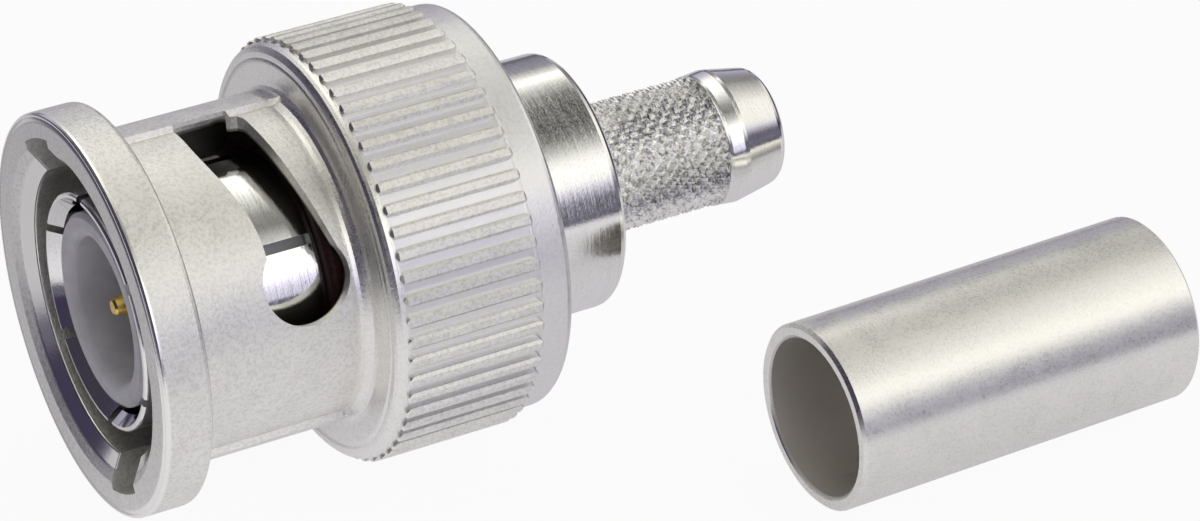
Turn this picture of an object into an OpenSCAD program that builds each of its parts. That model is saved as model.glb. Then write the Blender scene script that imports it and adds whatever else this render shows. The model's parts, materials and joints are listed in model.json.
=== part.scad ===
// BNC crimp plug with its loose crimp ferrule
// A bayonet coupling nut turns on a plug body with a knurled crimp stem.
// The plug axis runs along X, from the mating face to the cable end.
// Z = 0 is the surface that the ribbed collar and the ferrule lie on, and the
// origin is under the middle of both pieces together.

/* [View] */
// Which piece to build: "all", or the name of one piece

/* [Coupling nut] */
// Diameter of the front flange
flange_d = 13.66; // [13.3:0.02:14.6]
// Thickness of the front flange
flange_t = 1.66; // [1.4:0.02:1.9]
// Length of the sleeve between the flange and the collar
sleeve_l = 6.3; // [6.0:0.02:7.0]
// Diameter of the collar over its ribs
collar_d = 14.6; // [14.3:0.02:15.6]
// Length of the collar, from its front face to the rear of the nut
collar_l = 6.5; // [6.1:0.02:7.4]
// Length of the smooth band behind the ribs
band_l = 1.2; // [0.8:0.05:1.6]
// Number of ribs round the collar
rib_count = 60; // [48:1:64]
// Height of a rib above the smooth band
rib_h = 0.28; // [0.15:0.01:0.4]
// Width of a rib as a share of the rib pitch
rib_share = 0.55; // [0.4:0.01:0.65]
// Bevel along the top edges of a rib
rib_bevel = 0.09; // [0.05:0.01:0.12]
// Angle of the first rib, measured from +Y towards +Z
rib_a = 2.4; // [0:0.1:6]
// Bore that takes the mating shell
bore_d = 9.86; // [9.78:0.01:9.91]
// Wall of the sleeve between flange and collar
sleeve_wall = 0.52; // [0.45:0.01:0.6]

/* [Bayonet] */
// Number of bayonet slots
slot_count = 2; // [2:1:2]
// Angle of the first keyway, measured from +Y towards +Z
key_a = 61; // [0:1:180]
// Width of a keyway
key_w = 2.2; // [2.1:0.05:2.6]
// Diameter across the two keyways
key_d = 11.0; // [10.96:0.02:11.16]
// Width of the raised spine over a keyway
spine_w = 3.6; // [3.2:0.05:4.0]
// Thickness of the spine over the keyway
spine_wall = 0.16; // [0.15:0.01:0.3]
// Distance from the flange to the front edge of a slot
slot_gap = 2.36; // [2.1:0.02:2.5]
// Width of a slot at its start
slot_w = 2.31; // [2.2:0.01:2.4]
// How far the front edge of a slot climbs before the detent
cam_front = 0.75; // [0.6:0.01:0.85]
// Turn from keyway to detent
lock_a = 93; // [88:1:96]
// Diameter of the detent hole
detent_d = 3.0; // [2.8:0.02:3.1]

/* [Plug body] */
// Diameter of the body behind the nut
body_d = 8.9; // [8.7:0.02:9.0]
// Length of the body that shows behind the nut
body_l = 3.44; // [2.6:0.02:4.0]
// Diameter of the neck that the nut turns on
neck_d = 7.76; // [7.7:0.02:7.9]
// Diameter over the crests of the knurl on the crimp stem
stem_d = 4.56; // [4.4:0.02:4.8]
// Length of the knurl on the crimp stem
knurl_l = 5.2; // [4.4:0.05:6.0]
// Depth of the knurl
knurl_h = 0.15; // [0.1:0.01:0.2]
// Number of knurl points round the stem
knurl_count = 30; // [24:1:34]
// Length of the plain tip of the stem
tip_l = 2.34; // [1.8:0.05:2.6]
// Diameter of the small end of the tip
tip_d = 4.0; // [3.8:0.02:4.1]
// Bore of the crimp stem, for the cable dielectric
stem_bore = 3.1; // [3.0:0.02:3.2]

/* [Contacts] */
// Outer diameter of the slotted outer contact
contact_d = 8.1; // [8.0:0.01:8.14]
// Wall of the outer contact
contact_wall = 0.5; // [0.42:0.01:0.52]
// Setback of the outer contact from the mating face
contact_x = 0.5; // [0.4:0.02:0.8]
// Number of fingers on the outer contact
finger_count = 6; // [4:1:6]
// Width of the slits between the fingers
slit_w = 0.36; // [0.25:0.01:0.45]
// Outer diameter of the insulator
insulator_d = 6.6; // [6.5:0.02:6.66]
// Setback of the insulator from the outer contact
insulator_x = 0.2; // [0:0.02:0.4]
// Diameter of the recess in the insulator
recess_d = 4.95; // [4.9:0.01:5.0]
// Depth of the recess in the insulator
recess_l = 5.0; // [4.6:0.05:5.2]
// Diameter of the centre pin
pin_d = 1.35; // [1.32:0.005:1.37]
// Setback of the pin tip from the mating face
pin_x = 1.15; // [1.0:0.05:1.5]

/* [Crimp ferrule] */
// Outer diameter of the ferrule
ferrule_d = 6.46; // [6.3:0.02:7.0]
// Inner diameter of the ferrule
ferrule_bore = 5.5; // [5.3:0.02:5.7]
// Length of the ferrule
ferrule_l = 13.38; // [12:0.1:14]
// Distance of the ferrule axis from the plug axis
ferrule_gap = 11.3; // [11:0.1:14]
// Distance of the ferrule's front end from the mating face
ferrule_x = 21.05; // [18:0.05:24]
// Angle that the ferrule lies at
ferrule_a = 1.5; // [-6:0.5:6]

/* [Hidden] */
$fn = 96;
e = 0.01;                    // overlap that makes two solids one
run_gap = 0.07;              // radial clearance where pieces turn on each other
seat_gap = 0.02;             // clearance between pieces that seat on each other

axis_z = collar_d / 2;
ferrule_r = ferrule_d / 2;

// coupling nut
collar_x = flange_t + sleeve_l;
nut_l = collar_x + collar_l;
rim_x = collar_x + 0.4;
band_x = nut_l - band_l;
band_d = collar_d - 2 * rib_h - 0.04;
rim_d = collar_d - 0.3;
edge = 0.24;
flange_edge = 0.13;
lead_d = bore_d + 1.6;
lead_l = 0.5;
sleeve_d = bore_d + 2 * sleeve_wall;
spine_d = key_d + 2 * spine_wall;
notch_d = key_d + 1.0;
notch_l = flange_t - 0.4;
lip_l = 0.68;
seat_l = 1.16;               // depth of the nut's rear counterbore
shoulder_x = nut_l - seat_l; // front of the plug body's rear cylinder
lip_x = shoulder_x - seat_gap - lip_l;
rib_pitch = 360 / rib_count;
rib_w = PI * collar_d / rib_count * rib_share;
rib_l = band_x - rim_x;

// bayonet slots
slot_x = flange_t + slot_gap;
spine_half = asin(spine_w / spine_d);
slot_a0 = spine_half - 0.5;
detent_x = slot_x + cam_front + 1.13;
detent_back = detent_x + detent_d / 2;
slot_steps = 32;
corner_r = 0.5;              // round corner of the opening at the spine

// plug body
neck_r = neck_d / 2;
body_x = shoulder_x;
body_end = nut_l + body_l;
knurl_end = body_end + knurl_l;
stem_end = knurl_end + tip_l;
tip_max_d = stem_d + 0.14;
socket_d = insulator_d + 0.56;
chamber_d = 5.2;
chamber_out = 1.2;           // how far the cable chamber reaches behind the nut
chamber_end = nut_l + chamber_out;

// middle of both pieces, so that the origin is under it
end_x = ferrule_x + ferrule_l * cos(ferrule_a) + ferrule_r * sin(abs(ferrule_a));
mid_x = max(stem_end, end_x) / 2;
low_y = -ferrule_gap + min(0, ferrule_l * sin(ferrule_a)) - ferrule_r * cos(ferrule_a);
mid_y = (collar_d / 2 + low_y) / 2;

// springs and rings on the neck, counted forward from the nut's inner lip
washer_in = neck_d + 2 * run_gap;
washer_out = bore_d - 2 * run_gap;
thrust_t = 0.3;
thrust_x = lip_x - seat_gap - thrust_t;
wave_t = 0.2;
wave_h = 0.4;                // rise of a wave washer
wave_count = 3;
wave_steps = 72;
wave_rear_x = thrust_x - seat_gap - wave_t - wave_h;
wave_front_x = wave_rear_x - seat_gap - wave_t - wave_h;
ring_t = 0.4;
ring_x = wave_front_x - seat_gap - ring_t;
groove_d = neck_d - 0.9;
ring_open = 50;              // opening of the retaining ring, degrees

// front of the plug body, counted forward from the retaining ring
land_l = 0.33;               // wall between the core bore's end and the ring groove
core_l = 0.3;                // insulator behind the outer contact
plug_in = 1.5;               // how far the outer contact is pressed into the body
head_t = 0.75;
core_x = ring_x - land_l;
front_x = core_x - core_l - plug_in;  // front face of the plug body
head_x = front_x - seat_gap - head_t; // front of the outer contact's flange

// contacts and insulator
tube_d = contact_d - 2 * contact_wall;
root_l = 0.72;               // slimmer root that carries the gasket
root_x = head_x - root_l;    // end of the contact's full diameter
root_d = contact_d - 0.4;
nose_l = 0.42;               // depth of the bevel inside the fingers' tips
finger_l = root_x - 0.1 - contact_x;
finger_a = 19;
gasket_l = 0.66;
gasket_x = head_x - gasket_l - seat_gap;
gasket_d = bore_d - 0.5;
ins_x = contact_x + insulator_x;
ins_end = core_x - seat_gap;
lip_r = 0.35;                // rounding at the recess
web_x = ins_x + recess_l;
pin_seat_d = pin_d + 0.4;    // step that seats the pin in the insulator
point_l = 1.3;               // taper at the pin's tip
barrel_d = 2.1;
web_l = 1.6;                 // front wall of the insulator behind its recess
barrel_x = web_x + web_l;
barrel_gap = 1.4;            // pin's rear end to the end of the cable chamber
barrel_end = chamber_end - barrel_gap;
wire_d = 1.0;
wire_l = 3.4;
sight_d = 0.5;               // inspection hole in the pin's barrel
sight_a = 60;

// arc from angle a0 to a1 as [x, r] points
function arc(x, r, rad, a0, a1, n) =
    [for (i = [0 : n]) let (a = a0 + (a1 - a0) * i / n) [x + rad * cos(a), r + rad * sin(a)]];

// solid of revolution about the plug axis from [x, r] points
module turned(points) {
    rotate([0, 90, 0])
        rotate_extrude()
            polygon([for (p = points) [p[1], p[0]]]);
}

// straight ring on the plug axis
module ring(x, l, d_out, d_in) {
    turned([[x, d_in / 2], [x + l, d_in / 2], [x + l, d_out / 2], [x, d_out / 2]]);
}

// rod on the plug axis
module rod(x, l, d) {
    translate([x, 0, 0])
        rotate([0, 90, 0])
            cylinder(h = l, d = d);
}

// round hole drilled inwards at one angle
module radial(x, a, d, r0, r1) {
    rotate([a, 0, 0])
        translate([x, r0, 0])
            rotate([-90, 0, 0])
                cylinder(h = r1 - r0, d = d);
}

module on_axis() {
    translate([-mid_x, -mid_y, axis_z])
        children();
}

// ---- coupling nut ----

function ease(u) = u * u * (3 - 2 * u);
function clamp01(u) = min(1, max(0, u));

// edges of a bayonet slot, at an angle counted from its keyway
function slot_front(a) = slot_x + cam_front * ease(clamp01((a - 31) / (lock_a - 14 - 31)));
function slot_rear(a) =
    slot_x + slot_w + (detent_back - slot_x - slot_w) * pow(clamp01((a - 22) / (lock_a - 22)), 1.8)
    - corner(max(0, (a - spine_half) * PI * sleeve_d / 360));
function corner(s) = s < corner_r ? corner_r - sqrt(corner_r * corner_r - pow(corner_r - s, 2)) : 0;

module nut_profile() {
    turned(concat(
        [[0, 0]],
        arc(flange_edge, flange_d / 2 - flange_edge, flange_edge, 180, 90, 4),
        arc(flange_t - 0.18, flange_d / 2 - 0.18, 0.18, 90, 0, 3),
        arc(flange_t + 0.15, sleeve_d / 2 + 0.15, 0.15, 180, 270, 3),
        arc(collar_x - 0.46, sleeve_d / 2 + 0.46, 0.46, -90, 0, 5),
        arc(collar_x + 0.38, rim_d / 2 - 0.38, 0.38, 180, 90, 5),
        [[rim_x + 0.06, rim_d / 2], [rim_x + 0.06, band_d / 2]],
        arc(nut_l - edge, band_d / 2 - edge, edge, 90, 0, 4),
        [[nut_l, 0]]
    ));
}

module ribs() {
    rise = band_d / 2 - 0.4;
    top = collar_d / 2;
    intersection() {
        union() {
            for (i = [0 : rib_count - 1])
                rotate([rib_a + i * rib_pitch, 0, 0])
                    rib();
        }
        turned([
            [rim_x - 0.05, rise], [rim_x - 0.05, top - rib_bevel - 0.05], [rim_x + rib_bevel, top],
            [band_x - rib_bevel - 0.02, top], [band_x + 0.1, top - rib_bevel - 0.12],
            [band_x + 0.1, rise]
        ]);
    }
}

// one rib with round ends and bevelled edges, standing up from the collar
module rib() {
    half = rib_w / 2;
    foot = band_d / 2 - 0.3;
    crest = collar_d / 2 + 0.1;
    shoulder = collar_d / 2 - rib_bevel - 0.1;
    intersection() {
        translate([rim_x, foot, 0])
            rotate([-90, 0, 0])
                linear_extrude(height = rib_h + 0.6)
                    union() {
                        translate([half, -half])
                            square([rib_l - rib_w, rib_w]);
                        for (x = [half, rib_l - half])
                            translate([x, 0])
                                circle(d = rib_w, $fn = 24);
                    }
        translate([rim_x - 1, 0, 0])
            rotate([90, 0, 90])
                linear_extrude(height = rib_l + 2)
                    polygon([
                        [foot - 0.1, -half - 0.1], [shoulder, -half - 0.1],
                        [crest, rib_bevel + 0.1 - half], [crest, half - rib_bevel - 0.1],
                        [shoulder, half + 0.1], [foot - 0.1, half + 0.1]
                    ]);
    }
}

module spine() {
    intersection() {
        rod(flange_t / 2, collar_x + 0.1 - flange_t / 2, spine_d);
        translate([0, sleeve_d / 2 - 0.35, -spine_w / 2])
            cube([nut_l, spine_d, spine_w]);
    }
}

// way in for a lug: a notch in the flange, then a straight groove to the slot
module keyway() {
    intersection() {
        rod(-1, slot_x + slot_w + 1, key_d);
        translate([-1, bore_d / 2 - 0.6, -key_w / 2])
            cube([nut_l, key_d, key_w]);
    }
    intersection() {
        rod(-1, notch_l + 1, notch_d);
        translate([-1, bore_d / 2 - 0.6, -key_w / 2])
            cube([nut_l, key_d, key_w]);
    }
}

// part of the slot that passes under the spine
module slot_entry() {
    rotate([0, 90, 0])
        translate([0, 0, slot_x])
            rotate([0, 0, 90])
                rotate_extrude(angle = slot_a0 + 0.4)
                    translate([bore_d / 2 - 0.6, 0])
                        square([key_d / 2 - bore_d / 2 + 0.6, slot_w]);
}

// the open cam slot, as a strip that follows its two edges
module slot_strip() {
    r0 = bore_d / 2 - 0.7;
    r1 = spine_d / 2 + 0.6;
    da = (lock_a - slot_a0) / slot_steps;
    pts = [for (i = [0 : slot_steps])
        let (a = slot_a0 + i * da)
        for (k = [[slot_front(a), r0], [slot_rear(a), r0], [slot_rear(a), r1], [slot_front(a), r1]])
            [k[0], k[1] * cos(a), k[1] * sin(a)]];
    sides = [for (i = [0 : slot_steps - 1], k = [0 : 3])
        let (p = i * 4 + k, q = i * 4 + (k + 1) % 4)
        for (t = [[p, q + 4, q], [p, p + 4, q + 4]]) t];
    last = slot_steps * 4;
    polyhedron(
        points = pts,
        faces = concat([[0, 1, 2, 3]], sides, [[last + 3, last + 2, last + 1, last]]),
        convexity = 4
    );
}

module bayonet_slot() {
    keyway();
    slot_entry();
    slot_strip();
    radial(detent_x, lock_a, detent_d, bore_d / 2 - 0.8, spine_d / 2 + 0.6);
}

module coupling_nut() {
    color("Silver")
        on_axis()
            difference() {
                union() {
                    nut_profile();
                    ribs();
                    for (i = [0 : slot_count - 1])
                        rotate([key_a + i * 360 / slot_count, 0, 0])
                            spine();
                }
                turned([
                    [-1, 0], [-1, lead_d / 2 + 0.4], [0, lead_d / 2], [lead_l, bore_d / 2],
                    [lip_x, bore_d / 2], [lip_x, 0]
                ]);
                rod(lip_x - 1, lip_l + 2, neck_d + 2 * run_gap);
                turned([
                    [shoulder_x - seat_gap, 0], [shoulder_x - seat_gap, body_d / 2 + run_gap],
                    [nut_l - 0.15, body_d / 2 + run_gap], [nut_l, body_d / 2 + run_gap + 0.15],
                    [nut_l + 1, body_d / 2 + run_gap + 0.15], [nut_l + 1, 0]
                ]);
                for (i = [0 : slot_count - 1])
                    rotate([key_a + i * 360 / slot_count, 0, 0])
                        bayonet_slot();
            }
}

// ---- plug body ----

// diamond knurl: a sleeve of small four-sided points between two flat ends
module knurl(x, l) {
    cols = knurl_count * 2;
    rows = round(l / (PI * stem_d / cols));
    pts = [for (j = [0 : rows], i = [0 : cols - 1])
        let (a = i * 360 / cols, r = stem_d / 2 - ((i + j) % 2 == 0 ? 0 : knurl_h))
        [x + l * j / rows, r * cos(a), r * sin(a)]];
    sides = [for (j = [0 : rows - 1], i = [0 : cols - 1])
        let (p = j * cols + i, q = j * cols + (i + 1) % cols, up = cols)
        for (t = (i + j) % 2 == 0
            ? [[p, p + up, q], [q, p + up, q + up]]
            : [[p, q + up, q], [p, p + up, q + up]]) t];
    polyhedron(
        points = pts,
        faces = concat(
            [[for (i = [0 : cols - 1]) i]],
            sides,
            [[for (i = [cols - 1 : -1 : 0]) rows * cols + i]]
        ),
        convexity = 10
    );
}

module body_profile() {
    turned(concat(
        [[front_x, 0], [front_x, neck_r - 0.1], [front_x + 0.1, neck_r]],
        [[ring_x - seat_gap, neck_r], [ring_x - seat_gap, groove_d / 2]],
        [[ring_x + ring_t + seat_gap, groove_d / 2], [ring_x + ring_t + seat_gap, neck_r]],
        [[body_x, neck_r], [body_x, body_d / 2 - 0.1], [body_x + 0.1, body_d / 2]],
        arc(body_end - 0.3, body_d / 2 - 0.3, 0.3, 90, 0, 4),
        [[body_end, stem_d / 2 - knurl_h - 0.15], [knurl_end - 0.05, stem_d / 2 - knurl_h - 0.15]],
        [[knurl_end - 0.05, stem_d / 2 + 0.02], [knurl_end + 0.1, stem_d / 2 + 0.02]],
        [[knurl_end + 0.55, tip_max_d / 2], [knurl_end + 0.7, tip_max_d / 2]],
        arc(stem_end - 0.4, tip_d / 2 - 0.4 + 0.1, 0.4, 76, 0, 5),
        [[stem_end, 0]]
    ));
}

module plug_body() {
    color("Silver")
        on_axis()
            difference() {
                union() {
                    body_profile();
                    knurl(body_end - 0.1, knurl_l + 0.1);
                }
                turned([
                    [front_x - 1, 0], [front_x - 1, socket_d / 2 + seat_gap],
                    [front_x + plug_in, socket_d / 2 + seat_gap],
                    [front_x + plug_in, insulator_d / 2 + seat_gap],
                    [core_x, insulator_d / 2 + seat_gap], [core_x, chamber_d / 2],
                    [chamber_end, chamber_d / 2], [chamber_end + 0.9, stem_bore / 2],
                    [stem_end - 0.25, stem_bore / 2], [stem_end, stem_bore / 2 + 0.2],
                    [stem_end + 1, stem_bore / 2 + 0.2], [stem_end + 1, 0]
                ]);
            }
}

// ---- contacts, insulator and gasket ----

module outer_contact() {
    color("LightGray")
        on_axis()
            difference() {
                turned(concat(
                    [[contact_x + nose_l, tube_d / 2]],
                    [[contact_x, contact_d / 2 - 0.18]],
                    arc(contact_x + 0.14, contact_d / 2 - 0.14, 0.14, 180, 90, 4),
                    [[root_x, contact_d / 2], [root_x, root_d / 2]],
                    [[head_x, root_d / 2], [head_x, bore_d / 2 - 0.2]],
                    [[head_x + head_t, bore_d / 2 - 0.2], [head_x + head_t, socket_d / 2]],
                    [[front_x + plug_in - seat_gap, socket_d / 2]],
                    [[front_x + plug_in - seat_gap, insulator_d / 2 + seat_gap]],
                    [[head_x - 0.6, insulator_d / 2 + seat_gap], [head_x - 0.6, tube_d / 2]]
                ));
                for (i = [0 : finger_count - 1])
                    rotate([finger_a + i * 360 / finger_count, 0, 0])
                        translate([contact_x - 1, 0, -slit_w / 2])
                            cube([finger_l + 1, contact_d, slit_w]);
            }
}

module insulator() {
    color("White")
        on_axis()
            turned(concat(arc(ins_x + lip_r, recess_d / 2 + lip_r, lip_r, 180, 270, 5), [
                [web_x, recess_d / 2], [web_x, pin_seat_d / 2 + seat_gap],
                [barrel_x - seat_gap, pin_seat_d / 2 + seat_gap],
                [barrel_x - seat_gap, barrel_d / 2 + seat_gap],
                [ins_end, barrel_d / 2 + seat_gap], [ins_end, insulator_d / 2],
                [ins_x + 0.15, insulator_d / 2], [ins_x, insulator_d / 2 - 0.15]
            ]));
}

module centre_pin() {
    color("Gold")
        on_axis()
            difference() {
                turned(concat(
                    [[pin_x, 0], [pin_x, pin_d / 6]],
                    [[pin_x + 0.08, pin_d / 6 + 0.06], [pin_x + point_l, pin_d / 2]],
                    [[web_x, pin_d / 2], [web_x, pin_seat_d / 2]],
                    [[barrel_x, pin_seat_d / 2], [barrel_x, barrel_d / 2 - 0.1]],
                    [[barrel_x + 0.1, barrel_d / 2], [barrel_end, barrel_d / 2], [barrel_end, 0]]
                ));
                rod(barrel_end - wire_l, wire_l + 1, wire_d);
                radial(barrel_end - wire_l + sight_d, sight_a, sight_d, 0, barrel_d);
            }
}

module gasket() {
    color("DarkRed")
        on_axis()
            turned(concat(
                [[gasket_x, root_d / 2 + seat_gap]],
                arc(gasket_x + 0.2, gasket_d / 2 - 0.2, 0.2, 180, 90, 3),
                [[gasket_x + gasket_l, gasket_d / 2]],
                [[gasket_x + gasket_l, root_d / 2 + seat_gap]]
            ));
}

// ---- rings and springs on the neck ----

module retaining_ring() {
    color("DarkGray")
        on_axis()
            difference() {
                ring(ring_x, ring_t, washer_out, groove_d + 2 * seat_gap);
                rotate([90, 0, 0])
                    translate([ring_x - 1, 0, 0])
                        rotate([0, 90, 0])
                            linear_extrude(height = ring_t + 2)
                                polygon([
                                    [0, 0],
                                    [bore_d * cos(ring_open / 2), bore_d * sin(ring_open / 2)],
                                    [bore_d * cos(ring_open / 2), -bore_d * sin(ring_open / 2)]
                                ]);
            }
}

// flat ring bent into waves; phase turns the crests
module wave_washer(x, phase) {
    r0 = washer_in / 2;
    r1 = washer_out / 2;
    pts = [for (i = [0 : wave_steps - 1])
        let (a = i * 360 / wave_steps, s = x + wave_h / 2 * (1 + cos(wave_count * a + phase)))
        for (k = [[s, r0], [s, r1], [s + wave_t, r1], [s + wave_t, r0]])
            [k[0], k[1] * cos(a), k[1] * sin(a)]];
    n = wave_steps * 4;
    sides = [for (i = [0 : wave_steps - 1], k = [0 : 3])
        let (p = i * 4 + k, q = i * 4 + (k + 1) % 4)
        for (t = [[p, (q + 4) % n, q], [p, (p + 4) % n, (q + 4) % n]]) t];
    polyhedron(points = pts, faces = sides, convexity = 6);
}

module wave_washer_front() {
    color("DimGray")
        on_axis()
            wave_washer(wave_front_x, 0);
}

module wave_washer_rear() {
    color("DimGray")
        on_axis()
            wave_washer(wave_rear_x, 180);
}

module thrust_washer() {
    color("DarkGray")
        on_axis()
            ring(thrust_x, thrust_t, washer_out, washer_in);
}

// ---- crimp ferrule ----

module crimp_ferrule() {
    r = ferrule_r;
    b = ferrule_bore / 2;
    color("Silver")
        translate([ferrule_x - mid_x, -ferrule_gap - mid_y, r])
            rotate([0, 0, ferrule_a])
                turned([
                    [0, b + 0.1], [0.1, b], [ferrule_l - 0.1, b], [ferrule_l, b + 0.1],
                    [ferrule_l, r - 0.12], [ferrule_l - 0.12, r], [0.12, r], [0, r - 0.12]
                ]);
}

coupling_nut();
plug_body();
outer_contact();
insulator();
centre_pin();
gasket();
retaining_ring();
wave_washer_front();
wave_washer_rear();
thrust_washer();
crimp_ferrule();
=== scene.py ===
"""Finishes, stage, light and camera for a BNC crimp plug with its loose crimp ferrule."""

import json
import math

import bpy
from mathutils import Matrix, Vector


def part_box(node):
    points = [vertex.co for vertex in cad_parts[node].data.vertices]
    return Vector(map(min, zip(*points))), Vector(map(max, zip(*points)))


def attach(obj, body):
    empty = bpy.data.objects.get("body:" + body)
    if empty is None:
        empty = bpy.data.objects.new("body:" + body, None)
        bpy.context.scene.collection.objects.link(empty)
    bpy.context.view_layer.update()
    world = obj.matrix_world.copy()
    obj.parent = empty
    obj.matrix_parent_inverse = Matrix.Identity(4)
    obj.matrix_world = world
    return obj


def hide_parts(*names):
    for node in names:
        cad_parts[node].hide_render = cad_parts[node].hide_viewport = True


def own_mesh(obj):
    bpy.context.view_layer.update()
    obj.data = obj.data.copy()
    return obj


bl_info = {
    "name": "Crimp plug finishes",
    "version": (1, 0, 0),
    "blender": (4, 5, 0),
    "location": "View3D > Sidebar > Crimp plug",
    "description": "Plated finishes, stage and light for a crimp plug and its ferrule",
    "category": "Material",
}

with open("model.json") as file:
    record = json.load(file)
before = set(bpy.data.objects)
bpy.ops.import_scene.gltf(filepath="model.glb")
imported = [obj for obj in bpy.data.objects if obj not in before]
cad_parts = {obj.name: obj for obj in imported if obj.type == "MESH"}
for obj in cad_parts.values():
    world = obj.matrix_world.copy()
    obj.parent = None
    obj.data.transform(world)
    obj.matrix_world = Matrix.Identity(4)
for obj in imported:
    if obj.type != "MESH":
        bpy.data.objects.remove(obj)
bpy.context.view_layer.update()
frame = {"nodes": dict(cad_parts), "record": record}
MM = 0.001

NUT_LOW, NUT_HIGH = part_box("coupling_nut")
FACE = (NUT_LOW.x, (NUT_LOW.y + NUT_HIGH.y) / 2, (NUT_LOW.z + NUT_HIGH.z) / 2)
MOUNTS = {mount["name"]: mount for mount in frame["record"]["mounts"]}
JOINTS = {joint["name"]: joint for joint in frame["record"]["behaviour"]["joints"]}
NUT_LENGTH = NUT_HIGH.x - NUT_LOW.x
NUT_RADIUS = (NUT_HIGH.z - NUT_LOW.z) / 2
BORE_RADIUS = MOUNTS["bayonet"]["dims"]["r_mm"] * MM
STEM_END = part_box("plug_body")[1].x - NUT_LOW.x


# ---- settings ----


def tint(name, colour, description):
    """A colour property, written as linear red, green and blue."""
    return bpy.props.FloatVectorProperty(
        name=name,
        description=description,
        subtype="COLOR",
        size=3,
        min=0.0,
        max=1.0,
        default=colour,
    )


def length(name, default, description):
    """A length property in metres."""
    return bpy.props.FloatProperty(
        name=name, description=description, unit="LENGTH", default=default
    )


def share(name, default, description):
    """A property between 0 and 1."""
    return bpy.props.FloatProperty(
        name=name, description=description, subtype="FACTOR", min=0.0, max=1.0, default=default
    )


class CrimpPlugFinishes(bpy.types.PropertyGroup):
    """Colours and grain of the plated, moulded and machined pieces"""

    nickel: tint("Nickel", (0.96, 0.95, 0.905), "Colour of clean nickel plating")
    nickel_dull: tint("Dull nickel", (0.60, 0.59, 0.56), "Colour of nickel in pits and grooves")
    # painted shade: a darker lilac nickel for the smoother grooves between the ribs and the band
    # behind them
    nickel_smooth_painted_shade: tint("Smooth nickel", (0.88, 0.87, 0.89), "Colour of nickel between the ribs")
    nickel_pit: tint("Pitted nickel", (0.42, 0.41, 0.39), "Colour of nickel in the knurl's pits")
    # painted shade: a dark nickel that stands in for the shade deep in the nut
    nickel_deep_painted_shade: tint("Deep nickel", (0.24, 0.235, 0.20), "Colour of nickel deep in the nut")
    bright_nickel: tint("Bright nickel", (0.93, 0.925, 0.905), "Colour of turned bright nickel")
    bore: tint("Ferrule bore", (0.80, 0.775, 0.73), "Colour of the unplated bore of the ferrule")
    gold: tint("Gold", (0.80, 0.58, 0.17), "Colour of the plated centre pin")
    ptfe: tint("Insulator", (0.77, 0.775, 0.83), "Colour of the waxy white insulator")
    silicone: tint("Gasket", (0.022, 0.003, 0.003), "Colour of the gasket")
    spring: tint("Spring steel", (0.42, 0.41, 0.40), "Colour of washers and retaining ring")
    grain: length("Satin grain", 0.16 * MM, "Size of the specks in satin plating")
    turning: length("Turning pitch", 0.035 * MM, "Distance between turning lines")
    satin: share("Satin roughness", 0.43, "Roughness of the coupling nut")
    tube: share("Ferrule roughness", 0.29, "Roughness of the ferrule's outside")
    bright: share("Bright roughness", 0.115, "Roughness of turned bright nickel")


class CrimpPlugStage(bpy.types.PropertyGroup):
    """Floor, light and camera"""

    camera_place: bpy.props.FloatVectorProperty(
        name="Camera place",
        description="Where the camera stands",
        unit="LENGTH",
        subtype="XYZ",
        size=3,
        precision=5,
        default=(-0.06459, -0.11895, 0.09313),
    )
    azimuth: bpy.props.FloatProperty(
        name="Azimuth",
        description="Turn of the camera about the vertical",
        subtype="ANGLE",
        default=math.radians(-28.5),
    )
    elevation: bpy.props.FloatProperty(
        name="Elevation",
        description="How far the camera looks down",
        subtype="ANGLE",
        default=math.radians(32.7),
    )
    lens: bpy.props.FloatProperty(
        name="Lens", description="Focal length in millimetres", default=144.15
    )
    floor_size: length("Floor size", 3.0, "Side of the square floor")
    floor_white: share("Floor white", 0.93, "Share of plain white in the floor as it is seen")
    floor_mirrored: share("Mirrored white", 0.56, "Share of plain white in the floor's mirror image")


# ---- shader tools ----


def rgba(colour):
    """A colour with full opacity."""
    return (*colour, 1.0)


class Value:
    """A shader socket that takes Python's operators, each of which adds a Math node."""

    def __init__(self, shader, node, socket):
        self.shader = shader
        self.node = node
        self.socket = socket

    def out(self, name):
        """Another output of the same node."""
        return Value(self.shader, self.node, self.node.outputs[name])

    def maths(self, operation, *parts):
        """A Math node with this operation on these values."""
        return self.shader.add("ShaderNodeMath", {"operation": operation}, dict(enumerate(parts)))

    def __add__(self, other):
        return self.maths("ADD", self, other)

    def __radd__(self, other):
        return self.maths("ADD", other, self)

    def __sub__(self, other):
        return self.maths("SUBTRACT", self, other)

    def __rsub__(self, other):
        return self.maths("SUBTRACT", other, self)

    def __mul__(self, other):
        return self.maths("MULTIPLY", self, other)

    def __rmul__(self, other):
        return self.maths("MULTIPLY", other, self)

    def __truediv__(self, other):
        return self.maths("DIVIDE", self, other)

    def __rtruediv__(self, other):
        return self.maths("DIVIDE", other, self)

    def __pow__(self, other):
        return self.maths("POWER", self, other)

    def __abs__(self):
        return self.maths("ABSOLUTE", self)

    def at_most(self, other):
        """The smaller of two values."""
        return self.maths("MINIMUM", self, other)

    def at_least(self, other):
        """The larger of two values."""
        return self.maths("MAXIMUM", self, other)

    def step(self, start, end):
        """A smooth rise from 0 at start to 1 at end."""
        return self.shader.add(
            "ShaderNodeMapRange",
            {"interpolation_type": "SMOOTHSTEP"},
            {"Value": self, "From Min": start, "From Max": end},
        )


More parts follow.
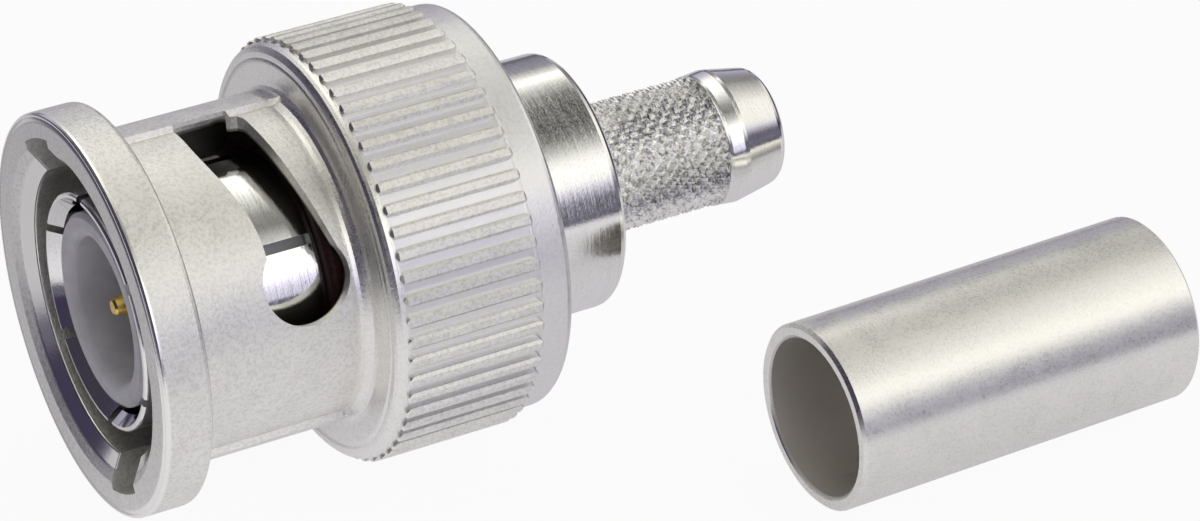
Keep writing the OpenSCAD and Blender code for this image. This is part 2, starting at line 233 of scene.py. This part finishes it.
class Shader:
    """A node tree; every node comes from add()."""

    def __init__(self, tree):
        self.tree = tree
        tree.nodes.clear()

    def add(self, kind, settings=None, sockets=None, output=0):
        """A node of this type, with its settings made first and then its sockets."""
        node = self.tree.nodes.new(kind)
        for name, value in (settings or {}).items():
            if name == "stops":
                self.set_stops(node.color_ramp, value)
            else:
                setattr(node, name, value)
        for key, value in (sockets or {}).items():
            if isinstance(value, Value):
                self.tree.links.new(value.socket, node.inputs[key])
            else:
                node.inputs[key].default_value = value
        outlet = node.outputs[output] if len(node.outputs) else None
        return Value(self, node, outlet)

    @staticmethod
    def set_stops(ramp, stops):
        """Gives a colour ramp these (position, colour) stops."""
        while len(ramp.elements) < len(stops):
            ramp.elements.new(1.0)
        for element, (position, colour) in zip(ramp.elements, stops):
            element.position = position
            element.color = rgba(colour)

    def mix(self, factor, low, high, blend="MIX"):
        """A colour between two colours, or high blended over low."""
        parts = {0: factor, 6: low, 7: high}
        for key in (6, 7):
            if not isinstance(parts[key], Value):
                parts[key] = rgba(parts[key])
        settings = {"data_type": "RGBA", "blend_type": blend}
        return self.add("ShaderNodeMix", settings, parts, output=2)

    def noise(self, where, size, detail=2.0, rough=0.5):
        """Noise with specks of this size in metres."""
        return self.add(
            "ShaderNodeTexNoise",
            {},
            {"Vector": where, "Scale": 1.0 / size, "Detail": detail, "Roughness": rough},
        )

    def vector(self, x, y, z):
        """Three values as one vector."""
        return self.add("ShaderNodeCombineXYZ", {}, {0: x, 1: y, 2: z})


class Finish(Shader):
    """A material whose surface is one principled shader."""

    def __init__(self, name):
        self.material = bpy.data.materials.new(name)
        self.material.use_nodes = True
        super().__init__(self.material.node_tree)
        self.place = self.add("ShaderNodeTexCoord", output="Object")
        split = self.add("ShaderNodeSeparateXYZ", {}, {0: self.place})
        self.x = split.out("X")
        self.y = split.out("Y")
        self.z = split.out("Z")

    def about(self, centre, heading=0.0):
        """Distance along a level axis through centre, radius from it, and the way out from it."""
        east = self.x - centre[0]
        north = self.y - centre[1]
        up = self.z - centre[2]
        depth = east * math.cos(heading) + north * math.sin(heading)
        side = north * math.cos(heading) - east * math.sin(heading)
        radius = (side * side + up * up) ** 0.5
        return depth, radius, side / radius, up / radius

    def rings(self, axis, pitch, arc):
        """Noise drawn out round an axis into lines of this pitch, that change over this arc."""
        depth, radius, side, up = axis
        reach = pitch / arc
        return self.noise(self.vector(depth, side * reach, up * reach), pitch, 2.0, 0.6)

    def bump(self, height, strength, distance, normal=None):
        """A normal that follows this height."""
        sockets = {"Height": height, "Strength": strength, "Distance": distance}
        if normal is not None:
            sockets["Normal"] = normal
        return self.add("ShaderNodeBump", {}, sockets)

    def surface(self, **sockets):
        """Closes the material with a principled shader; names use _ for a space."""
        named = {key.replace("_", " "): value for key, value in sockets.items()}
        shader = self.add("ShaderNodeBsdfPrincipled", {}, named)
        self.add("ShaderNodeOutputMaterial", {}, {"Surface": shader})

    def cover(self, *nodes):
        """Puts the material on these nodes of the model."""
        for name in nodes:
            piece = frame["nodes"][name]
            if not piece.material_slots:
                piece.data.materials.append(self.material)
            for place in piece.material_slots:
                place.material = self.material


# ---- finishes ----

# where the nut's finish changes, as depths behind the mating face and radii from the axis
# the turned front edge of the flange, which rolls over
EDGE_DEPTH = 0.19 * MM
EDGE_RADIUS = NUT_RADIUS - 0.80 * MM
ROLL_RADIUS = NUT_RADIUS - 0.82 * MM
# the lead-in cone: its wide end, how much it narrows with depth, and its turned inner part
CONE_RADIUS = BORE_RADIUS + 0.8 * MM
CONE_TAPER = 1.6
TURNED_RADIUS = BORE_RADIUS + 0.41 * MM
# the fillet in front of the collar, the grooves between its ribs, and the band behind them
HUB = (NUT_LENGTH - 7.01 * MM, NUT_LENGTH - 6.11 * MM)
RIBS = (NUT_LENGTH - 6.01 * MM, NUT_LENGTH - 1.26 * MM)
GROOVE_RADIUS = NUT_RADIUS - 0.24 * MM
BAND_DEPTH = NUT_LENGTH - 1.24 * MM
# the wall of the bore, painted with shade that deepens between these depths
WALL_RADIUS = BORE_RADIUS + 0.05 * MM
WALL_DEPTHS = (1.5 * MM, 3.0 * MM)
# the knurl on the stem, from end to end
KNURL = (STEM_END - 7.49 * MM, STEM_END - 2.39 * MM)


def between(value, start, end, soft):
    """1 from start to end, with soft edges."""
    return value.step(start - soft, start) * (1.0 - value.step(end, end + soft))


def satin_nickel(finish, looks, worked, smoother_and_shaded, shade, roll):
    """Satin nickel with fine pits, turned in places and with a rolled edge; painted shade darkens it
    deep in the bore, and where it is smoother.
    """
    grain = finish.noise(finish.place, 0.8 * looks.grain, 4.0, 0.7)
    cloud = finish.noise(finish.place, 8 * looks.grain, 3.0, 0.55)
    rest = 1.0 - worked
    dull = (grain.step(0.56, 0.38) * 0.42 + cloud.step(0.60, 0.38) * 0.14) * rest
    plated = finish.mix(dull, tuple(looks.nickel), tuple(looks.nickel_dull))
    # painted shade: darker lilac nickel where the nut is smoother
    plated = finish.mix(smoother_and_shaded * 0.8, plated, tuple(looks.nickel_smooth_painted_shade))
    # painted shade deep in the bore
    colour = finish.mix(shade, plated, tuple(looks.nickel_deep_painted_shade))
    satin = looks.satin + (cloud - 0.5) * 0.16 + (grain - 0.5) * 0.3
    rough = (satin - smoother_and_shaded * 0.05) * rest + worked * looks.bright
    rolled = finish.bump(roll, 1.0, MM)
    height = (grain + cloud * 0.5) * (rest + 0.1) * (1.0 - smoother_and_shaded * 0.6)
    normal = finish.bump(height, 0.5, 0.034 * MM, rolled)
    finish.surface(Base_Color=colour, Metallic=1.0, Roughness=rough, Normal=normal)


def tube_nickel(finish, looks, bore):
    """Smooth barrel plated nickel with fine specks, over a dull bore where bore is 1."""
    grain = finish.noise(finish.place, 0.7 * looks.grain, 3.0, 0.65)
    cloud = finish.noise(finish.place, 7 * looks.grain, 3.0, 0.55)
    dull = grain.step(0.54, 0.36) * 0.25 + cloud.step(0.62, 0.38) * 0.1
    plated = finish.mix(dull, tuple(looks.nickel), tuple(looks.nickel_dull))
    colour = finish.mix(bore, plated, tuple(looks.bore))
    rough = looks.tube + (cloud - 0.5) * 0.1 + (grain - 0.5) * 0.16 + bore * 0.3
    normal = finish.bump(grain * 0.8 + cloud * 0.8, 0.16, 0.02 * MM)
    finish.surface(Base_Color=colour, Metallic=1.0, Roughness=rough, Normal=normal)


def turned_nickel(finish, looks, axis, roughness, knurl=0.0):
    """Bright nickel over turning lines, with the broken plating of a knurl where knurl is 1."""
    fine = finish.rings(axis, looks.turning, 0.35)
    broad = finish.rings(axis, 5 * looks.turning, 0.8)
    specks = finish.noise(finish.place, 2.5 * looks.turning, 3.0, 0.6)
    broken = finish.noise(finish.place, 5 * looks.turning, 3.0, 0.7)
    streaks = (fine.step(0.60, 0.36) * 0.12 + specks.step(0.50, 0.30) * 0.3) * (1.0 - knurl)
    colour = finish.mix(streaks, tuple(looks.bright_nickel), tuple(looks.nickel_dull))
    colour = finish.mix(broken.step(0.52, 0.34) * knurl, colour, tuple(looks.nickel_pit))
    rough = roughness + (broad - 0.5) * 0.10 + (specks - 0.5) * 0.16 + knurl * 0.1
    height = fine * 0.3 + broad * 0.8 + specks * 0.7 + knurl * broken * 16.0
    normal = finish.bump(height, 0.2, 0.012 * MM)
    finish.surface(Base_Color=colour, Metallic=1.0, Roughness=rough, Normal=normal)


def spring_steel(name, looks):
    """Rolled spring steel with faint straw stains."""
    finish = Finish(name)
    grain = finish.noise(finish.place, 0.06 * MM, 2.0)
    stain = finish.noise(finish.place, 1.2 * MM, 3.0)
    steel = tuple(looks.spring)
    straw = tuple(part * scale for part, scale in zip(steel, (1.05, 0.9, 0.66)))
    finish.surface(
        Base_Color=finish.mix(stain.step(0.45, 0.7), steel, straw),
        Metallic=1.0,
        Roughness=0.3 + (grain - 0.5) * 0.2,
        Normal=finish.bump(grain, 0.2, 0.008 * MM),
    )
    return finish


# ---- operators ----


class CRIMP_PLUG_OT_nut(bpy.types.Operator):
    """Plate the coupling nut in satin nickel"""

    bl_idname = "crimp_plug.nut"
    bl_label = "Coupling nut"

    def execute(self, context):
        looks = context.scene.crimp_plug_finishes
        finish = Finish("nut_satin_nickel")
        depth, radius = finish.about(FACE)[:2]
        off_cone = abs(radius + depth * CONE_TAPER - CONE_RADIUS)
        inner = radius.step(TURNED_RADIUS + 0.12 * MM, TURNED_RADIUS)
        lead_in = off_cone.step(0.12 * MM, 0.05 * MM) * inner
        outer = radius.step(EDGE_RADIUS, EDGE_RADIUS + 0.08 * MM)
        edge = depth.step(EDGE_DEPTH, EDGE_DEPTH - 0.07 * MM) * outer
        hub = between(depth, *HUB, 0.15 * MM)
        worked = (lead_in + edge * 0.85 + hub * 0.45).at_most(1.0)
        past = ((radius - ROLL_RADIUS) / MM).at_least(0.0).at_most(0.22)
        roll = past * past * -1.9
        below_ribs = radius.step(GROOVE_RADIUS + 0.16 * MM, GROOVE_RADIUS)
        groove = between(depth, *RIBS, 0.05 * MM) * below_ribs
        band = depth.step(BAND_DEPTH, BAND_DEPTH + 0.12 * MM)
        # the grooves and the band are smoother, and also painted darker as shade
        smoother_and_shaded = (groove + band * 0.8).at_most(1.0)
        # painted shade on the bore's wall, darker deeper in the nut
        inside = radius.step(WALL_RADIUS + 0.08 * MM, WALL_RADIUS)
        shade = inside * depth.step(*WALL_DEPTHS)
        satin_nickel(finish, looks, worked, smoother_and_shaded, shade, roll)
        finish.cover("coupling_nut")
        return {"FINISHED"}


class CRIMP_PLUG_OT_body(bpy.types.Operator):
    """Plate the turned plug body in bright nickel"""

    bl_idname = "crimp_plug.body"
    bl_label = "Plug body"

    def execute(self, context):
        looks = context.scene.crimp_plug_finishes
        finish = Finish("body_turned_nickel")
        axis = finish.about(FACE)
        knurl = between(axis[0], *KNURL, 0.05 * MM)
        turned_nickel(finish, looks, axis, looks.bright, knurl)
        finish.cover("plug_body")
        return {"FINISHED"}


class CRIMP_PLUG_OT_contact(bpy.types.Operator):
    """Plate the slotted outer contact"""

    bl_idname = "crimp_plug.contact"
    bl_label = "Outer contact"

    def execute(self, context):
        looks = context.scene.crimp_plug_finishes
        finish = Finish("contact_turned_nickel")
        turned_nickel(finish, looks, finish.about(FACE), 0.8 * looks.bright)
        finish.cover("outer_contact")
        return {"FINISHED"}


class CRIMP_PLUG_OT_insulator(bpy.types.Operator):
    """Give the insulator its waxy white plastic"""

    bl_idname = "crimp_plug.insulator"
    bl_label = "Insulator"

    def execute(self, context):
        looks = context.scene.crimp_plug_finishes
        finish = Finish("insulator_ptfe")
        cloud = finish.noise(finish.place, 0.9 * MM, 3.0)
        rings = finish.rings(finish.about(FACE), 0.07 * MM, 0.5)
        white = tuple(looks.ptfe)
        shade = tuple(0.88 * part for part in white)
        normal = finish.bump(rings, 0.25, 0.006 * MM)
        finish.surface(
            Base_Color=finish.mix(cloud.step(0.35, 0.65), white, shade),
            Roughness=0.42 + (rings - 0.5) * 0.12,
            Normal=normal,
            Subsurface_Weight=0.25,
            Subsurface_Scale=0.5 * MM,
            IOR=1.38,
        )
        finish.cover("insulator")
        return {"FINISHED"}


class CRIMP_PLUG_OT_pin(bpy.types.Operator):
    """Plate the centre pin in gold"""

    bl_idname = "crimp_plug.pin"
    bl_label = "Centre pin"

    def execute(self, context):
        looks = context.scene.crimp_plug_finishes
        finish = Finish("pin_gold")
        lines = finish.rings(finish.about(FACE), 0.04 * MM, 0.4)
        patches = finish.noise(finish.place, 0.3 * MM, 2.0)
        gold = tuple(looks.gold)
        deep = tuple(part * scale for part, scale in zip(gold, (0.88, 0.80, 0.62)))
        finish.surface(
            Base_Color=finish.mix(patches.step(0.4, 0.65), gold, deep),
            Metallic=1.0,
            Roughness=0.16 + lines * 0.12,
            Normal=finish.bump(lines, 0.2, 0.006 * MM),
        )
        finish.cover("centre_pin")
        return {"FINISHED"}


class CRIMP_PLUG_OT_gasket(bpy.types.Operator):
    """Give the gasket its moulded silicone"""

    bl_idname = "crimp_plug.gasket"
    bl_label = "Gasket"

    def execute(self, context):
        looks = context.scene.crimp_plug_finishes
        finish = Finish("gasket_silicone")
        specks = finish.noise(finish.place, 0.12 * MM, 2.0)
        red = tuple(looks.silicone)
        dusty = tuple(0.006 + 1.3 * part for part in red)
        finish.surface(
            Base_Color=finish.mix(specks.step(0.4, 0.7), red, dusty),
            Roughness=0.6 + (specks - 0.5) * 0.2,
            Normal=finish.bump(specks, 0.2, 0.01 * MM),
            Specular_IOR_Level=0.2,
        )
        finish.cover("gasket")
        return {"FINISHED"}


class CRIMP_PLUG_OT_springs(bpy.types.Operator):
    """Give the thrust washer and the retaining ring their spring steel"""

    bl_idname = "crimp_plug.springs"
    bl_label = "Thrust washer and retaining ring"

    def execute(self, context):
        finish = spring_steel("washer_spring_steel", context.scene.crimp_plug_finishes)
        finish.cover("thrust_washer", "retaining_ring")
        return {"FINISHED"}


class CRIMP_PLUG_OT_wave_springs(bpy.types.Operator):
    """Make the two wave springs as copies of the wave washers, in spring steel"""

    bl_idname = "crimp_plug.wave_springs"
    bl_label = "Wave springs"

    def execute(self, context):
        finish = spring_steel("wave_spring_steel", context.scene.crimp_plug_finishes)
        travel = JOINTS["nut_slide"]["range_m"][1]
        fixed_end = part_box("wave_washer_front")[0].x
        pressed_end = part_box("thrust_washer")[0].x
        keep = 1.0 - travel / (pressed_end - fixed_end)
        for node in ("wave_washer_front", "wave_washer_rear"):
            mesh = frame["nodes"][node].data.copy()
            mesh.materials.clear()
            mesh.materials.append(finish.material)
            spring = bpy.data.objects.new(node.replace("washer", "spring"), mesh)
            context.scene.collection.objects.link(spring)
            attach(spring, "plug")
            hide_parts(node)
            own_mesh(spring)
        return {"FINISHED"}


class CRIMP_PLUG_OT_ferrule(bpy.types.Operator):
    """Plate the crimp ferrule and leave its bore dull"""

    bl_idname = "crimp_plug.ferrule"
    bl_label = "Crimp ferrule"

    def execute(self, context):
        looks = context.scene.crimp_plug_finishes
        mount = MOUNTS["ferrule_bore"]
        heading = math.atan2(mount["axis"][1], mount["axis"][0])
        finish = Finish("ferrule_satin_nickel")
        radius = finish.about(mount["pos_m"], heading)[1]
        bore_radius = mount["dims"]["r_mm"] * MM
        bore = 1.0 - radius.step(bore_radius + 0.03 * MM, bore_radius + 0.08 * MM)
        tube_nickel(finish, looks, bore)
        finish.cover("crimp_ferrule")
        return {"FINISHED"}


class CRIMP_PLUG_OT_stage(bpy.types.Operator):
    """Lay the floor, light the stage and stand the camera"""

    bl_idname = "crimp_plug.stage"
    bl_label = "Stage, light and camera"

    def execute(self, context):
        stage = context.scene.crimp_plug_stage
        lay_floor(stage)
        light_room(context.scene)
        stand_camera(context.scene, stage)
        context.scene.view_settings.view_transform = "Standard"
        return {"FINISHED"}


# ---- stage ----

# strips of light and shade that run along the stage, as (degrees up and over from behind,
# brightness), in the directions that the nut, the body and the ferrule mirror
NUT_STRIPS = (
    (0.0, 0.45), (22.0, 0.62), (38.0, 1.20), (66.0, 1.38), (82.0, 0.84), (98.0, 0.36),
    (112.0, 0.24), (126.0, 0.62), (140.0, 1.40), (161.0, 1.40), (172.0, 0.85), (180.0, 0.75),
)
BODY_STRIPS = (
    (0.0, 0.20), (24.0, 0.28), (33.0, 0.70), (40.0, 1.40), (46.0, 1.15), (55.0, 0.50),
    (66.0, 0.12), (80.0, 0.01), (101.0, 0.02), (111.0, 0.16), (120.0, 0.50), (130.0, 1.00),
    (143.0, 1.20), (153.0, 1.05), (160.0, 0.50), (168.0, 0.07), (180.0, 0.05),
)
TUBE_STRIPS = (
    (0.0, 0.50), (20.0, 0.30), (40.0, 0.22), (62.0, 0.44), (80.0, 0.72), (92.0, 1.05),
    (108.0, 1.22), (130.0, 1.25), (140.0, 1.15), (152.0, 0.48), (162.0, 0.24), (180.0, 0.32),
)
# where one set of strips gives way to the next, as the X of a direction of length 1
NUT_TO_BODY = (0.35, 0.39)
BODY_TO_TUBE = (0.43, 0.46)
# where the strips give way to the room's ends: the cable end by X, the mating end by -X
CABLE_END = (0.60, 0.85)
MATING_END = (0.10, 0.40)
# the light of the room's ends, and the low band of shade under it
END_LIGHT = (0.85, 0.84, 0.81)
END_SHADE = (0.048, 0.043, 0.066)
# how far that shade climbs towards the mating end, and sinks towards the cable end
MATING_CLIMB = 1.0
CABLE_FALL = 0.12
# the heights of a direction between which light gives way to shade
HORIZON = (0.50, 0.24)
# tints of the light from above and from near the floor
WARM = (1.0, 0.99, 0.94)
LILAC = (1.0, 0.97, 1.18)
WHITE = (1.0, 1.0, 1.0)
FLOOR_PAINT = (0.88, 0.87, 0.90)
# the floor as the metal mirrors it: painted shade beside the stem, bright in front, a painted shadow
# behind the plug, and painted shade far away
FLOOR_SHADE_BESIDE = (0.74, 0.73, 0.77)
FLOOR_FRONT = (1.0, 0.99, 1.04)
FLOOR_SHADOW_BEHIND = (0.56, 0.55, 0.61)
FLOOR_SHADE_FAR = (0.13, 0.125, 0.165)
# how far along X the spot of painted shade beside the stem lies
FLOOR_SHADE_SPOT = 14 * MM


def grey(brightness):
    """A neutral colour."""
    return (brightness, brightness, brightness)


def grey_stops(strips):
    """Colour ramp stops of strips given in degrees."""
    return [(degrees / 180.0, grey(brightness)) for degrees, brightness in strips]


def lay_floor(stage):
    """A plain pale floor that keeps the shadow and is white where it is seen; in the metal's mirror
    image it carries painted shade beside the stem and far away, and a painted shadow behind the
    plug.
    """
    half = stage.floor_size / 2
    mesh = bpy.data.meshes.new("floor")
    corners = [(-half, -half, 0.0), (half, -half, 0.0), (half, half, 0.0), (-half, half, 0.0)]
    mesh.from_pydata(corners, [], [(0, 1, 2, 3)])
    floor = bpy.data.objects.new("floor", mesh)
    bpy.context.scene.collection.objects.link(floor)
    shader = Shader(new_floor_tree(mesh))
    paint = shader.add("ShaderNodeBsdfDiffuse", {}, {"Color": rgba(FLOOR_PAINT)})
    spot = shader.add("ShaderNodeTexCoord", output="Object")
    place = shader.add("ShaderNodeSeparateXYZ", {}, {0: spot})
    across, along = place.out("X"), place.out("Y")
    flat = along * along * 0.3
    from_middle = (across * across + flat) ** 0.5
    past_stem = across - FLOOR_SHADE_SPOT
    from_stem = (past_stem * past_stem + flat) ** 0.5
    # painted shade and a painted shadow on the floor, seen only in the metal's mirror image
    front = shader.mix(from_stem.step(8 * MM, 26 * MM), FLOOR_SHADE_BESIDE, FLOOR_FRONT)
    near = shader.mix(along.step(-2 * MM, 10 * MM), front, FLOOR_SHADOW_BEHIND)
    far = from_middle.step(32 * MM, 56 * MM)
    mirrored_floor = shader.mix(far, near, FLOOR_SHADE_FAR)
    path = shader.add("ShaderNodeLightPath")
    tone = shader.mix(path.out("Is Camera Ray"), mirrored_floor, WHITE)
    white = shader.add("ShaderNodeEmission", {}, {"Color": tone, "Strength": 1.0})
    mirrored = path.out("Is Glossy Ray") + path.out("Is Transmission Ray")
    mirrored = mirrored * (stage.floor_mirrored + far * (1.0 - stage.floor_mirrored))
    share_white = (path.out("Is Camera Ray") * stage.floor_white + mirrored).at_most(1.0)
    mixed = shader.add("ShaderNodeMixShader", {}, {0: share_white, 1: paint, 2: white})
    shader.add("ShaderNodeOutputMaterial", {}, {"Surface": mixed})


def new_floor_tree(mesh):
    """The node tree of the floor's material."""
    material = bpy.data.materials.new("floor_white")
    material.use_nodes = True
    mesh.materials.append(material)
    return material.node_tree


def light_room(scene):
    """Long soft strips over the stage, and plain white behind it."""
    world = bpy.data.worlds.new("studio")
    world.use_nodes = True
    scene.world = world
    shader = Shader(world.node_tree)
    way = shader.add("ShaderNodeTexCoord", output="Generated")
    split = shader.add("ShaderNodeSeparateXYZ", {}, {0: way})
    across, height = split.out("X"), split.out("Z")
    turn = split.maths("ARCTAN2", height, split.out("Y")) / math.pi
    nut, body, tube = (
        shader.add("ShaderNodeValToRGB", {"stops": grey_stops(strips)}, {0: turn})
        for strips in (NUT_STRIPS, BODY_STRIPS, TUBE_STRIPS)
    )
    strips = shader.mix(across.step(*NUT_TO_BODY), nut, body)
    strips = shader.mix(across.step(*BODY_TO_TUBE), strips, tube)
    lean = across.at_most(0.0) * MATING_CLIMB + across.at_least(0.0) * CABLE_FALL
    ends = shader.mix((height + lean).step(*HORIZON), END_LIGHT, END_SHADE)
    room = shader.mix(across.step(*CABLE_END), strips, ends)
    room = shader.mix((0.0 - across).step(*MATING_END), room, ends)
    tint_of_height = shader.mix(height.step(*HORIZON), WARM, LILAC)
    sky = shader.mix(1.0, room, tint_of_height, "MULTIPLY")
    path = shader.add("ShaderNodeLightPath")
    colour = shader.mix(path.out("Is Camera Ray"), sky, WHITE)
    light = shader.add("ShaderNodeBackground", {}, {"Color": colour, "Strength": 1.0})
    shader.add("ShaderNodeOutputWorld", {}, {"Surface": light})


def stand_camera(scene, stage):
    """The camera, at its place and angle."""
    data = bpy.data.cameras.new("camera")
    data.lens = stage.lens
    data.sensor_width = 36.0
    data.clip_start = 0.005
    camera = bpy.data.objects.new("camera", data)
    scene.collection.objects.link(camera)
    camera.location = stage.camera_place
    camera.rotation_euler = (math.radians(90.0) - stage.elevation, 0.0, stage.azimuth)
    scene.camera = camera


# ---- add-on ----


class CRIMP_PLUG_PT_panel(bpy.types.Panel):
    """Lists the pieces and their finishes"""

    bl_idname = "CRIMP_PLUG_PT_panel"
    bl_label = "Crimp plug"
    bl_space_type = "VIEW_3D"
    bl_region_type = "UI"
    bl_category = "Crimp plug"

    def draw(self, context):
        layout = self.layout
        for group in (context.scene.crimp_plug_finishes, context.scene.crimp_plug_stage):
            for name in group.__annotations__:
                layout.prop(group, name)
        for operator in OPERATORS:
            layout.operator(operator.bl_idname)


OPERATORS = (
    CRIMP_PLUG_OT_nut,
    CRIMP_PLUG_OT_body,
    CRIMP_PLUG_OT_contact,
    CRIMP_PLUG_OT_insulator,
    CRIMP_PLUG_OT_pin,
    CRIMP_PLUG_OT_gasket,
    CRIMP_PLUG_OT_springs,
    CRIMP_PLUG_OT_wave_springs,
    CRIMP_PLUG_OT_ferrule,
    CRIMP_PLUG_OT_stage,
)
CLASSES = (CrimpPlugFinishes, CrimpPlugStage, *OPERATORS, CRIMP_PLUG_PT_panel)


def register():
    """Registers the classes and gives the scene its settings."""
    for item in CLASSES:
        bpy.utils.register_class(item)
    scene_type = bpy.types.Scene
    scene_type.crimp_plug_finishes = bpy.props.PointerProperty(type=CrimpPlugFinishes)
    scene_type.crimp_plug_stage = bpy.props.PointerProperty(type=CrimpPlugStage)


def unregister():
    """Takes the settings and the classes away again."""
    del bpy.types.Scene.crimp_plug_stage
    del bpy.types.Scene.crimp_plug_finishes
    for item in reversed(CLASSES):
        bpy.utils.unregister_class(item)


def main():
    """Dresses every piece, then sets the stage."""
    register()
    for operator in OPERATORS:
        group, name = operator.bl_idname.split(".")
        getattr(getattr(bpy.ops, group), name)()


if __name__ == "__main__":
    main()
